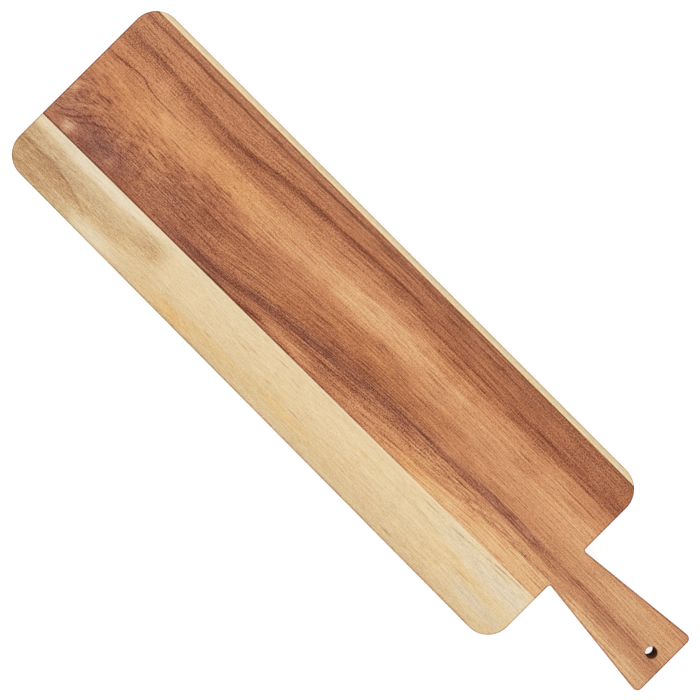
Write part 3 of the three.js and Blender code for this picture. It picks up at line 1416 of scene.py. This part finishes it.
@dataclass(frozen=True)
class Glue:
    """A finish of cured glue whose darkness changes along the board."""

    name: str
    tones: Points
    colours: Stops = ((40, "#4a2b1b"), (90, "#7a5033"), (150, "#b98d5e"), (220, "#ead9b6"))
    bead_change: float = 16.0
    bead_relief: float = 0.01
    roughness: float = 0.6
    roughness_variation: float = 0.08
    shine: float = 0.3

    def material(self) -> Material:
        """Builds the finish.

        Returns:
            The material.
        """
        surface = Surface(self.name)
        beads = BEADS.over(surface, surface.x, surface.y, surface.z)
        tone = beads.times_plus(self.bead_change, surface.x.curve(self.tones))
        colour = surface.ramp(tone, self.colours)
        roughness = beads.times_plus(self.roughness_variation, self.roughness)
        return surface.finished(colour, roughness, beads * self.bead_relief, self.shine)


LEFT_GLUE = Glue("left_glue", ((0, 150), (230, 150), (330, 165), (430, 190), (500, 195)))
RIGHT_GLUE = Glue("right_glue", ((0, 206), (500, 206)))


@dataclass(frozen=True)
class StudioPaper:
    """A finish for the floor: paper that the camera sees as white and that still takes a soft shadow."""

    glow: float = 0.86
    tint: str = "#959595"
    roughness: float = 0.9
    shine: float = 0.1

    def material(self) -> Material:
        """Builds the finish. From below, the paper isn't there, so that the underside can be looked at.

        Returns:
            The material.
        """
        material = bpy.data.materials.new("studio_paper")
        material.use_nodes = True
        tree = material.node_tree
        paper = tree.nodes["Principled BSDF"]
        output = tree.nodes["Material Output"]
        paper.inputs["Base Color"].default_value = linear(self.tint)
        paper.inputs["Roughness"].default_value = self.roughness
        paper.inputs["Specular IOR Level"].default_value = self.shine
        glow = tree.nodes.new("ShaderNodeEmission")
        (seen_directly(tree) * self.glow).plug_into(glow.inputs["Strength"])
        lit = tree.nodes.new("ShaderNodeAddShader")
        tree.links.new(paper.outputs[0], lit.inputs[0])
        tree.links.new(glow.outputs[0], lit.inputs[1])
        clear = tree.nodes.new("ShaderNodeBsdfTransparent")
        sides = tree.nodes.new("ShaderNodeMixShader")
        tree.links.new(tree.nodes.new("ShaderNodeNewGeometry").outputs["Backfacing"], sides.inputs[0])
        tree.links.new(lit.outputs[0], sides.inputs[1])
        tree.links.new(clear.outputs[0], sides.inputs[2])
        tree.links.new(sides.outputs[0], output.inputs["Surface"])
        return material


def seen_directly(tree: NodeTree) -> Field:
    """Tells rays of the camera, and what gloss and glass show, from the rays that carry light.

    Args:
        tree: The node tree to use it in.

    Returns:
        1 for those rays and 0 for others.
    """
    path = tree.nodes.new("ShaderNodeLightPath")
    kinds = [Field(tree, path.outputs[f"Is {kind} Ray"]) for kind in ("Camera", "Glossy", "Transmission")]
    return (kinds[0] + kinds[1] + kinds[2]).clamped()


# The board


@dataclass
class BoardForm:
    """The board's outline and edges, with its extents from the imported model."""

    far_end: float
    shoulder: float
    handle_end: float
    left_edge: float
    right_edge: float
    thickness: float
    body_corner: float = 19.5 * MM
    neck_fillet: float = 2 * MM
    handle_corner: float = 4 * MM
    neck_width: float = 34.4 * MM
    handle_end_width: float = 55.6 * MM
    eased_edge: float = 1.5 * MM
    hole_diameter: float = 8.5 * MM
    hole_from_end: float = 13.5 * MM
    hole_rim: float = 0.4 * MM

    @classmethod
    def from_frame(cls) -> "BoardForm":
        """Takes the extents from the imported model's staves.

        Returns:
            The board's form.
        """
        left_low, left_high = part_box("left_stave")
        centre_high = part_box("centre_stave")[1]
        right_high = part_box("right_stave")[1]
        return cls(left_low.x, left_high.x, centre_high.x, left_low.y, right_high.y, left_high.z)

    def outline(self) -> Outline:
        """Draws the whole board from above, counterclockwise.

        Returns:
            Its outline, with every side eased.
        """
        middle = (self.left_edge + self.right_edge) / 2
        half_neck = self.neck_width / 2
        half_end = self.handle_end_width / 2
        corners = [
            (self.far_end, self.left_edge, self.body_corner),
            (self.shoulder, self.left_edge, self.body_corner),
            (self.shoulder, middle - half_neck, self.neck_fillet),
            (self.handle_end, middle - half_end, self.handle_corner),
            (self.handle_end, middle + half_end, self.handle_corner),
            (self.shoulder, middle + half_neck, self.neck_fillet),
            (self.shoulder, self.right_edge, self.body_corner),
            (self.far_end, self.right_edge, self.body_corner),
        ]
        places = [Vector((x, y)) for x, y, _ in corners]
        points = []
        for i, (_, _, radius) in enumerate(corners):
            points += rounded_corner(places[i - 1], places[i], places[(i + 1) % len(places)], radius)
        return [OutlinePoint(point) for point in points]

    def hole(self) -> Hole:
        """The hanging hole, in the middle of the handle near its end."""
        centre = Vector((self.handle_end - self.hole_from_end, (self.left_edge + self.right_edge) / 2))
        return Hole(centre, self.hole_diameter / 2, self.hole_rim)


@dataclass
class GlueJoint:
    """A glue joint: its middle's distances from the left edge, at the far end and at the shoulders."""

    far: float
    near: float
    gap: float = 0.3 * MM

    def line(self, form: BoardForm, shift: float) -> tuple[Vector, Vector]:
        """Finds a line along the joint.

        Args:
            form: The board.
            shift: How far the line lies to the right of the joint's middle.

        Returns:
            Its points at the far end and at the shoulders.
        """
        start = Vector((form.far_end, form.left_edge + self.far + shift))
        end = Vector((form.shoulder, form.left_edge + self.near + shift))
        return start, end


@dataclass
class ServingBoard:
    """The board: three staves and the two films of glue that join them."""

    form: BoardForm
    left_joint: GlueJoint
    right_joint: GlueJoint
    film_clearance: float = 0.01 * MM
    film_recess: float = 0.06 * MM

    def build(self) -> list[Object]:
        """Builds and dresses every piece.

        Returns:
            The pieces.
        """
        half = self.left_joint.gap / 2
        whole = self.form.outline()
        left_of_left = self.left_joint.line(self.form, -half)[::-1]
        right_of_left = self.left_joint.line(self.form, half)
        left_of_right = self.right_joint.line(self.form, -half)[::-1]
        right_of_right = self.right_joint.line(self.form, half)
        left = kept_left_of(whole, *left_of_left)
        centre = kept_left_of(kept_left_of(whole, *right_of_left), *left_of_right)
        right = kept_left_of(whole, *right_of_right)
        return [
            self._stave("pale_left_stave", "left_stave", left, SAPWOOD.material()),
            self._stave(
                "brown_centre_stave", "centre_stave", centre, HEARTWOOD.material(),
                hole=self.form.hole(),
            ),
            self._stave("pale_right_stave", "right_stave", right, SAPWOOD_STRIP.material()),
            self._film("left_glue_film", "left_glue_line", self.left_joint, LEFT_GLUE.material()),
            self._film("right_glue_film", "right_glue_line", self.right_joint, RIGHT_GLUE.material()),
        ]

    def _stave(self, name: str, node: str, outline: Outline, finish: Material,
               hole: Hole | None = None) -> Object:
        """Builds a stave.

        Args:
            name: The piece's name.
            node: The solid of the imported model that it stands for.
            outline: Its outline.
            finish: Its material.
            hole: The hole through it, if it has one.

        Returns:
            The piece.
        """
        slab = Slab(outline, 0.0, self.form.thickness, self.form.eased_edge, hole=hole)
        return self._place(name, node, slab.mesh(name), finish)

    def _film(self, name: str, node: str, joint: GlueJoint, finish: Material) -> Object:
        """Builds a film of glue, sunk a little below the faces.

        Args:
            name: The piece's name.
            node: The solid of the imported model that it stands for.
            joint: The joint that it fills.
            finish: Its material.

        Returns:
            The piece.
        """
        half = joint.gap / 2 - self.film_clearance
        lower_side = joint.line(self.form, -half)
        upper_side = joint.line(self.form, half)[::-1]
        outline = kept_left_of(kept_left_of(self.form.outline(), *lower_side), *upper_side)
        recess = self.film_recess
        top = self.form.thickness - recess
        slab = Slab(outline, recess, top, self.form.eased_edge, recess=recess, face_dip=0.0)
        return self._place(name, node, slab.mesh(name), finish)

    def _place(self, name: str, node: str, mesh: Mesh, finish: Material) -> Object:
        """Puts a piece into the scene.

        Args:
            name: Its name.
            node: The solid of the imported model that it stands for.
            mesh: Its mesh.
            finish: Its material.

        Returns:
            The piece.
        """
        mesh.materials.append(finish)
        piece = bpy.data.objects.new(name, mesh)
        bpy.context.scene.collection.objects.link(piece)
        crisp = piece.modifiers.new("flat_faces_stay_flat", "WEIGHTED_NORMAL")
        crisp.keep_sharp = True
        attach(piece, BODY)
        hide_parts(node)
        return piece


# The studio


@dataclass
class Studio:
    """The camera above the board, soft lamps and a plain white floor."""

    eye: Vector
    aim: Vector
    bearing: float
    lens: float
    floor_size: float = 12.0
    floor_drop: float = 0.5 * MM
    sky: float = 0.3
    lamp_size: float = 1.4
    lamp_power: float = 22.2
    lamp_places: tuple[tuple[float, float, float], ...] = ((-1.0, 0.9, 1.7), (1.0, -0.9, 1.7))

    def build(self) -> None:
        """Sets up the camera, the floor, the sky and the lamps."""
        bpy.context.scene.view_settings.view_transform = "Standard"
        self._camera()
        self._floor()
        self._sky()
        for i, place in enumerate(self.lamp_places):
            self._lamp(f"softbox_{i + 1}", Vector(place))

    def _camera(self) -> None:
        """Places the camera and makes it the scene's own."""
        data = bpy.data.cameras.new("camera")
        data.lens = self.lens
        camera = bpy.data.objects.new("camera", data)
        forward = (self.aim - self.eye).normalized()
        level = Vector((math.cos(self.bearing), math.sin(self.bearing), 0))
        right = (level - forward * level.dot(forward)).normalized()
        turn = Matrix((right, right.cross(forward), -forward)).transposed()
        camera.matrix_world = Matrix.Translation(self.eye) @ turn.to_4x4()
        bpy.context.scene.collection.objects.link(camera)
        bpy.context.scene.camera = camera

    def _floor(self) -> None:
        """Lays the floor just under the board."""
        half = self.floor_size / 2
        corners = [(-half, -half), (half, -half), (half, half), (-half, half)]
        mesh = bpy.data.meshes.new("floor")
        mesh.from_pydata([(x, y, -self.floor_drop) for x, y in corners], [], [(0, 1, 2, 3)])
        mesh.materials.append(StudioPaper().material())
        floor = bpy.data.objects.new("floor", mesh)
        bpy.context.scene.collection.objects.link(floor)

    def _sky(self) -> None:
        """Makes a sky that the camera sees as white and that lights the board softly."""
        world = bpy.data.worlds.new("studio")
        bpy.context.scene.world = world
        world.use_nodes = True
        background = world.node_tree.nodes["Background"]
        background.inputs["Color"].default_value = linear("#ffffff")
        strength = seen_directly(world.node_tree).times_plus(1.0 - self.sky, self.sky)
        strength.plug_into(background.inputs["Strength"])

    def _lamp(self, name: str, place: Vector) -> None:
        """Hangs a softbox that is aimed at the middle of the board.

        Args:
            name: Its name.
            place: Where it hangs.
        """
        data = bpy.data.lights.new(name, "AREA")
        data.size = self.lamp_size
        data.energy = self.lamp_power
        lamp = bpy.data.objects.new(name, data)
        lamp.location = place
        lamp.rotation_euler = (-place).to_track_quat("-Z", "Y").to_euler()
        bpy.context.scene.collection.objects.link(lamp)


def main() -> None:
    """Builds the studio and the board, and logs each piece's number of faces."""
    logging.basicConfig(level=logging.INFO)
    Studio(
        eye=Vector((0.0033, -0.0034, 0.8691)),
        aim=Vector((-0.0191, -0.0001, 0.015)),
        bearing=math.radians(45.13),
        lens=60.84,
    ).build()
    board = ServingBoard(
        BoardForm.from_frame(),
        left_joint=GlueJoint(far=42.8 * MM, near=48.3 * MM),
        right_joint=GlueJoint(far=155.6 * MM, near=155.6 * MM),
    )
    for piece in board.build():
        LOG.info("%s: %d faces", piece.name, len(piece.data.polygons))


if __name__ == "__main__":
    main()
